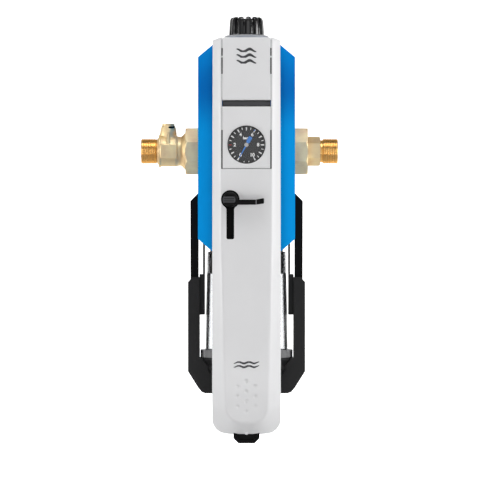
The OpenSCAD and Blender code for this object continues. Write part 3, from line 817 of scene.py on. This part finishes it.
def thread_surface(name, start, end):
    """Helical outside thread from start to end along X. Its rows of points follow the helix."""
    segments, per_turn, chamfer, crest, flank = 72, 10, 0.9, 1.9, 4.4
    low, high = min(start, end), max(start, end)
    rows = math.ceil(per_turn * (high - low) / THREAD_PITCH) + per_turn + 3
    verts, faces = [], []
    for i in range(rows):
        tooth = min(1, max(0, crest - abs(i / per_turn % 1 - 0.5) * flank))
        for j in range(segments):
            turn = 2 * math.pi * j / segments
            x = low + THREAD_PITCH * (i / per_turn - 1 + j / segments)
            lead = min(x - low, high - x)
            r = min(THREAD_R - max(0, chamfer - lead) * 0.9, THREAD_R - THREAD_DEPTH * (1 - tooth))
            x, r = (x, r) if lead > 0 else (max(low, min(high, x)), THREAD_END_R)
            verts.append((x, r * math.cos(turn), r * math.sin(turn)))
    for i in range(rows - 1):
        for j in range(segments - 1):
            a = i * segments + j
            faces.append((a, a + 1, a + segments + 1, a + segments))
        if i + per_turn + 1 < rows:
            last, first = i * segments + segments - 1, (i + per_turn) * segments
            faces.append((last, first, first + segments, last + segments))
    return make_object(name, verts, faces, "thread", 60)


def bored_end(name, mouth, inward):
    """End face and bore of a threaded tail: mouth is the outer end, inward the bore's inner end."""
    chamfer = 0.7
    step = chamfer if mouth < inward else -chamfer
    profile = [(mouth, THREAD_END_R), (mouth, BORE_R + chamfer), (mouth + step, BORE_R), (inward, BORE_R)]
    return lathe(name, profile, "thread", "X", segments=72, closed=False, angle=50)


def hexagon(name, x0, x1, across_flats, look):
    """Wrench piece along X with turned chamfers on its corners."""
    sides, chamfer = 6, 1.4
    corner = across_flats / 2 / math.cos(math.pi / sides)
    verts = []
    for x in (x0, x1):
        for j in range(sides):
            a = 2 * math.pi * j / sides
            verts.append((x, corner * math.sin(a), corner * math.cos(a)))
    faces = [tuple(range(sides)), tuple(range(2 * sides - 1, sides - 1, -1))]
    faces += [(j, (j + 1) % sides, sides + (j + 1) % sides, sides + j) for j in range(sides)]
    obj = make_object(name, verts, faces, look)
    limit = corner + 0.2
    reach = [(x0, 0), (x0, limit - chamfer), (x0 + chamfer * 0.8, limit)]
    reach += [(x1 - chamfer * 0.8, limit), (x1, limit - chamfer), (x1, 0)]
    cut(obj, lathe("turned", reach, look, "X", segments=128, closed=False), "INTERSECT")
    tidy(obj, 25)
    rounded(obj, 0.35, 2, 25)
    bake(obj)
    return obj


def outlet():
    """Tail with a hexagon, an undercut behind it and a turned thread."""
    hex_body = hexagon("outlet_hex", 64.6, 78.3, 27, "brass")
    cut(hex_body, round_tool("bore", 50, 90, BORE_R, segments=72))
    neck = lathe("neck", [(54, BORE_R), (54, 19.2), (58, 19.4), (58.2, 15), (64.7, 15), (64.7, BORE_R)],
                 "brass", "X")
    relief = lathe("relief", [(78.2, BORE_R), (78.2, 12.2), (78.7, 11.7), (80.6, 11.7), (81.0, 12.1),
                              (81.0, BORE_R)], "thread", "X")
    mouth = 97.0
    thread = thread_surface("thread", 80.9, mouth)
    end = bored_end("end", mouth, 80.8)
    fitting = join([hex_body, neck, relief, thread, end], "outlet_fitting")
    finish_piece(fitting, "root", "brass_thread", "outlet_tail")


def cast(obj, voxel, rounds):
    """Merges shapes into one cast body with small fillets everywhere."""
    mod = obj.modifiers.new("merge", "REMESH")
    mod.mode = "VOXEL"
    mod.voxel_size = voxel * MM
    soft = obj.modifiers.new("soften", "SMOOTH")
    soft.factor = 0.5
    soft.iterations = rounds
    bake(obj)
    tidy(obj, 80)


def inlet():
    """Check-valve fitting: cast body with a pad, a side boss with its rib, and a turned thread."""
    barrel = lathe("barrel", [(-93.2, 0), (-93.2, 17.6), (-91.5, 17.6), (-91.4, 16.9), (-75.5, 16.9),
                              (-73.0, 15.6), (-64, 15), (-57, 15), (-57, 0)], "brass", "X", closed=False)
    flats = brick("flats", (-120, -30, -16.1), (0, 30, 16.1), "brass")
    cut(barrel, flats, "INTERSECT")
    rim = lathe("rim", [(-93.4, 0), (-93.4, 17.5), (-91.6, 17.5), (-91.6, 0)], "brass", "X", closed=False)
    pad = brick("pad", (-91.5, -18.4, -8.3), (-73.9, -5, 6.4), "brass")
    boss = lathe("boss", [(5, 0), (5, 9.6), (14.5, 9.1), (20.5, 8.7), (25.2, 7.7), (26.6, 7.3),
                          (BOSS_TOP, 7.0), (BOSS_TOP, 0)], "brass", "Z", (BOSS_X, 0, 0), closed=False)
    rib = brick("rib", (BOSS_X - 1.5, -15.6, 6), (BOSS_X + 1.5, -2, 19.5), "brass")
    cone = lathe("cone", [(-95.8, 0), (-95.8, 12.0), (-93.2, 15.4), (-93.2, 0)], "brass", "X", closed=False)
    flare = lathe("flare", [(-73, 0), (-73, 13.5), (-71.5, 14.7), (-69, 16.0), (-66.6, 18.4), (-65.6, 19.4),
                            (-65.0, 19.4), (-65.0, 0)], "brass", "X", closed=False)
    body = join([barrel, rim, pad, boss, rib, cone, flare], "inlet_body")
    cast(body, 0.42, 2)
    port_x, port_z, port_half, port_rise = BOSS_X + 3.2, 25.2, 3.2, 1.3
    oval = [(port_x + port_half * x, port_z + port_rise * z) for x, z in arc(0, 0, 1, 0, 345, 23)]
    tools = [round_tool("bore", -130, -50, BORE_R), round_tool("seat", 12, 30, 4.5, "Z", (BOSS_X, 0, 0)),
             round_tool("chamber", -92, -69, 11.95), prism("port", oval, -12, -4.6, "brass")]
    for tool in tools:
        cut(body, tool)
    tidy(body, 50)
    # Painted shade: a black sheet at the back of the port stands in for the shadow inside it.
    floor = brick("port_shadow_floor", (port_x - port_half - 0.1, -4.9, port_z - port_rise - 0.1),
                  (port_x + port_half + 0.1, -4.5, port_z + port_rise + 0.1), "rail")
    tail = lathe("tail", [(-58.2, BORE_R), (-58.2, 15), (-58.0, 19.4), (-54, 19.2), (-54, BORE_R)],
                 "brass", "X")
    mouth = -112.2
    thread = thread_surface("thread", -95.8, mouth)
    end = bored_end("end", mouth, -95.7)
    fitting = join([body, floor, tail, thread, end], "inlet_fitting")
    finish_piece(fitting, "root", "brass_body", "check_valve_body")

    plug = lathe("plug", [(BOSS_TOP - 8, 0), (BOSS_TOP - 8, 4.4), (BOSS_TOP + 0.05, 4.4),
                          (BOSS_TOP + 0.05, 6.6), (BOSS_TOP + 1.7, 6.6), (BOSS_TOP + 2.15, 6.1),
                          (BOSS_TOP + 2.2, 0)], "brass", "Z", (BOSS_X, 0, 0), closed=False)
    socket = [(BOSS_X + 3 * math.cos(math.radians(60 * i)), 3 * math.sin(math.radians(60 * i)))
              for i in range(6)]
    tool = make_object("socket", [(x, y, BOSS_TOP + rise) for rise in (0.6, 4) for x, y in socket],
                       [tuple(range(6)), tuple(range(11, 5, -1))]
                       + [(i, (i + 1) % 6, 6 + (i + 1) % 6, 6 + i) for i in range(6)], "black")
    cut(plug, tool)
    tidy(plug, 30)
    finish_piece(plug, "root", "brass_body", "test_plug")


# ---------------------------------------------------------------- lock lever and latch

def lock_lever():
    """Hub in the recess, a tapering arm with a painted highlight where it turns, and a flat face with two
    lines, drawn lighter than the rest as painted light.
    """
    hub = lathe("hub", [(-155.4, 0), (-155.4, 4.6), (-154.6, 6.4), (-152.8, 7.6), (-150.5, 7.9),
                        (-138.2, 7.9), (-138.2, 4), (-131, 4), (-131, 0)],
                "ink", "Y", (LOCK_X, 0, LOCK_Z), 20, closed=False, angle=8)
    arm = prism("arm", [(LOCK_X - 6.4, ARM_Z - 1.2), (LOCK_X - 5.0, ARM_Z - 2.6), (9.0, ARM_Z - 2.6),
                        (17.2, ARM_Z - 1.5), (17.8, ARM_Z - 0.9), (17.8, ARM_Z + 3.4), (17.2, ARM_Z + 4.0),
                        (9.4, ARM_Z + 2.5), (LOCK_X - 5.6, ARM_Z + 2.5), (LOCK_X - 6.8, ARM_Z + 1.4)],
                -159.5, -153.5, "ink")
    rounded(arm, 0.5, 3)
    bake(arm)
    # Painted light: the face is drawn in a lighter material than the rest of the lever, for light falling on
    # it.
    face = prism("face", [(-23.2, -57.6), (-12.2, -57.6), (-11.2, -56.6), (-11.4, -52.6), (-12.6, -51.4),
                          (-22.8, -51.4), (-23.8, -52.6), (-23.8, -56.8)], -159.85, -152, "strip")
    rounded(face, 0.6, 3)
    bake(face)
    lines = [brick("line", (-22.9, -159.95, z), (-12.3, -159.5, z + 0.45), "ink") for z in (-55.9, -53.6)]
    # Painted highlight: a grey strip where the arm bends, for light caught on that edge.
    bend_highlight = brick("bend_highlight", (9.5, -159.6, ARM_Z - 2.2), (10.1, -159, ARM_Z + 2.3), "grey")
    finish_piece(join([hub, arm, face, bend_highlight] + lines, "lock_handle"), "lock", "black_plastic", "lock_lever")


def latch():
    """Tapered tip with a recess and two grooves, its flange, and the arm with the tongue."""
    outline = [(-13.3, -284), (-13.3, -298), (-8.3, -303), (8.3, -303), (13.3, -298), (13.3, -284)]
    body = prism("body", outline, LATCH_FRONT, LATCH_REAR, "rail")
    cut(body, brick("recess", (-7.2, LATCH_FRONT - 5, -300.2), (7.2, LATCH_FRONT + 2, -297.4), "strip"))
    for low, high in ((-9.4, -7.6), (7.6, 9.4)):
        cut(body, brick("groove", (low, LATCH_FRONT - 5, -298.8), (high, LATCH_FRONT + 1.5, -290), "strip"))
    rounded(body, 0.5, 2, 30)
    bake(body)
    tongue_top = -272.6
    parts = [body, brick("flange", (-15.5, LATCH_FRONT + 1.2, -285.0), (15.5, LATCH_REAR, -282.6)),
             brick("arm", (-5, -114.4, -284), (5, LATCH_REAR, tongue_top)),
             brick("tongue", (-5, -120, -275.6), (5, LATCH_REAR, tongue_top))]
    finish_piece(join(parts, "latch_tab_body"), "latch", "black_plastic", "latch_tab")


# ---------------------------------------------------------------- springs and small marks

def helix(name, r, wire, low, high, turns, axis, centre, first=0.0, last=1.0):
    """Coil spring as a swept round wire, or the share of it between first and last."""
    steps, sides = turns * 28, 10
    low, high = low + COIL_GAP, high - COIL_GAP
    rows = range(round(steps * first), round(steps * last) + 1)
    verts = []
    for i in rows:
        t = i / steps
        turn = 2 * math.pi * turns * t
        along = low + wire + (high - low - 2 * wire) * t
        for j in range(sides):
            a = 2 * math.pi * j / sides
            radius = r + wire * math.cos(a)
            verts.append(place(axis, along + wire * math.sin(a), radius * math.cos(turn),
                               radius * math.sin(turn), centre))
    faces = grid_faces(len(rows), sides, closed_cols=True)
    faces += [tuple(range(sides)), tuple(range(len(verts) - 1, len(verts) - sides - 1, -1))]
    return make_object(name, verts, faces, "steel", 50)


def finish_spring(obj, node):
    """Bakes a spring's placement into its mesh and hides the CAD node that it stands in for."""
    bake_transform(obj)
    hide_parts(node)


def springs():
    foot, middle, top = (0, HEAD_Y, 34), (0, HEAD_Y, 62), (0, HEAD_Y, 90)
    size = (11.5, 1.25, foot[2], top[2], 8, "Z", (0, HEAD_Y, 0))
    coil = helix("setting_coil_low", *size, last=0.5)
    finish_spring(coil, "setting_spring")
    coil = helix("setting_coil_high", *size, first=0.5)
    finish_spring(coil, "setting_spring")
    flange_z, latch_spring_y = -282.6, -118.4
    coils = [helix("coil", 2.4, 0.4, flange_z, SEAT_Z, 7, "Z", (x, latch_spring_y, 0)) for x in (-10.5, 10.5)]
    finish_spring(join(coils, "latch_coils"), "latch_spring")
    poppet_x, cartridge_x = -86.4, -75.1
    coil = helix("check_coil", 3.4, 0.4, poppet_x, cartridge_x, 6, "X", (0, 0, 0))
    finish_spring(coil, "check_spring")


def wave_outline(cz, length, thick, height, waves):
    """Wavy line about x = 0 that thins out towards both ends."""
    xs = steps_between(-length / 2, length / 2, length / 24)
    line = [(x, height * math.sin(2 * math.pi * waves * x / length)) for x in xs]
    taper = [thick * (1 - abs(2 * x / length) ** 3 * 0.7) for x in xs]
    upper = [(x, cz + z + t / 2) for (x, z), t in zip(line, taper)]
    lower = [(x, cz + z - t / 2) for (x, z), t in zip(line, taper)]
    return upper + lower[::-1]


def wave_group(name, body, heights, size, proud, *nodes):
    """Waves on the front surface. Size is their length, thickness, height and number of waves."""
    marks = []
    for z in heights:
        y = profile_y(z)
        marks.append(prism("wave", wave_outline(z, *size), y - proud, y + 0.6, "strip"))
    finish_piece(join(marks, name), body, "strip_plastic", *nodes)


def wave_marks():
    """Three plain waves on the top panel, and one small pair low on the lever."""
    wave_group("panel_waves", "root", [91.6 + k * 5.8 for k in (-1, 0, 1)], (20, 3.0, 1.4, 1.5), 0.15,
               "wave_mark")
    wave_group("lever_waves", "front_lever", [-223.6 + k * 3.9 for k in (0, 1)], (26, 2.1, 0.8, 2.5), 0.12)


# ---------------------------------------------------------------- CAD nodes that stay

# Edge radius of each node that is rounded
ROUNDING = {
    "manifold": 0.8, "inlet_union_nut": 0.5, "outlet_union_nut": 0.5, "flange_bolts": 0.3,
    "filter_head": 0.6, "reducer_bonnet": 0.8, "collar": 0.4, "casing_left": 1.2, "casing_right": 1.2,
    "back_cover": 0.8, "cover_screws": 0.2, "pivot_brackets": 0.5, "keyhole_liner": 0.3, "lock_cam": 0.3,
    "rails": 0.3, "yoke": 1.0, "guide_shoes": 0.8, "lift_rods": 0.15, "cup_base": 0.7, "keeper": 0.5,
    "ribbed_ring": 0.2, "sieve_frame": 0.3, "check_cartridge": 0.2,
}


def dress_cad_nodes():
    """Gives every CAD node its material, and rounds the edges of those listed above."""
    slots = {row["node"]: row["material_slot"] for row in frame["record"]["subparts"]}
    for name, obj in frame["nodes"].items():
        look = M[NODE_LOOK.get(name, SLOT_LOOK[slots[name]])]
        if not obj.material_slots:
            obj.data.materials.append(look)
        for slot in obj.material_slots:
            slot.material = look
        if name in ROUNDING:
            flat = obj.modifiers.new("planar", "DECIMATE")
            flat.decimate_type = "DISSOLVE"
            flat.angle_limit = math.radians(1)
            rounded(obj, ROUNDING[name], 2, 35)


# ---------------------------------------------------------------- camera, light and stage, in metres

def look_at(obj, target):
    obj.rotation_euler = (Vector(target) - obj.location).to_track_quat("-Z", "Y").to_euler()


def area_light(name, location, target, size, power):
    data = bpy.data.lights.new(name, "AREA")
    data.shape = "RECTANGLE"
    data.size, data.size_y = size
    data.energy = power
    obj = add(name, data)
    obj.location = location
    obj.visible_camera = False
    look_at(obj, target)


def camera():
    data = bpy.data.cameras.new("camera")
    data.sensor_width = 36
    data.lens = 202.6
    data.clip_end = 50
    obj = add("camera", data)
    obj.location = (0.0036, -3.0, -0.1053)
    obj.rotation_euler = (math.pi / 2, 0, 0)
    bpy.context.scene.camera = obj


def stage():
    """A pale floor that sweeps up into a wall, painted brighter towards the wall, where it also glows to
    light the object from behind.
    """
    radius, floor_z, front_y_end, wall_y, wall_top, reach = 0.5, -1.3, -3.5, 3.6, 4.0, 4.5
    section = [(front_y_end, floor_z), (wall_y - radius, floor_z)]
    section += arc(wall_y - radius, floor_z + radius, radius, -80, 0, 8)
    section.append((wall_y, wall_top))
    verts = [(x / MM, y / MM, z / MM) for y, z in section for x in (-reach, reach)]
    M["paper"], tree, shader = new_material("studio_paper", (0.9, 0.9, 0.9), 0.9)
    depth = coordinate(tree, "Y")
    # Painted light: the paper's colour brightens towards the wall, and its emission makes the wall glow as a
    # light source.
    tree.links.new(ramp(tree, depth, (0.72, 0.72, 0.72), (0.9, 0.9, 0.9), 0.2, 0.9),
                   shader.inputs["Base Color"])
    shader.inputs["Emission Color"].default_value = (1, 1, 1, 1)
    tree.links.new(spread(tree, depth, 0.0, 0.9, 0.4, 1.4), shader.inputs["Emission Strength"])
    make_object("studio_sweep", verts, grid_faces(len(section), 2), "paper", 60)


def lights():
    world = bpy.data.worlds.new("studio")
    bpy.context.scene.world = world
    world.use_nodes = True
    sky = world.node_tree.nodes["Background"]
    sky.inputs["Color"].default_value = (1, 1, 1, 1)
    sky.inputs["Strength"].default_value = 0.22
    area_light("right", (1.5, -0.5, 0.0), (0, -0.1, -0.18), (0.7, 0.9), 13.5)
    area_light("left", (-1.5, -0.5, -0.05), (0, -0.1, -0.18), (0.7, 0.8), 10.5)
    area_light("front", (0.3, -3.6, 0.3), (0, -0.1, -0.05), (2.6, 2.6), 14)
    area_light("top", (0, -0.75, 1.5), (0, -0.1, 0), (1.2, 0.8), 12)
    area_light("low_front", (0, -0.85, -0.4), (0, -0.12, -0.29), (1.0, 0.06), 0.75)
    bpy.context.scene.view_settings.view_transform = "Standard"


camera()
dress_cad_nodes()
front_cover()
centre_panels()
grip_strip()
seams()
gauge()
knob()
inlet()
outlet()
lock_lever()
latch()
springs()
wave_marks()
stage()
lights()
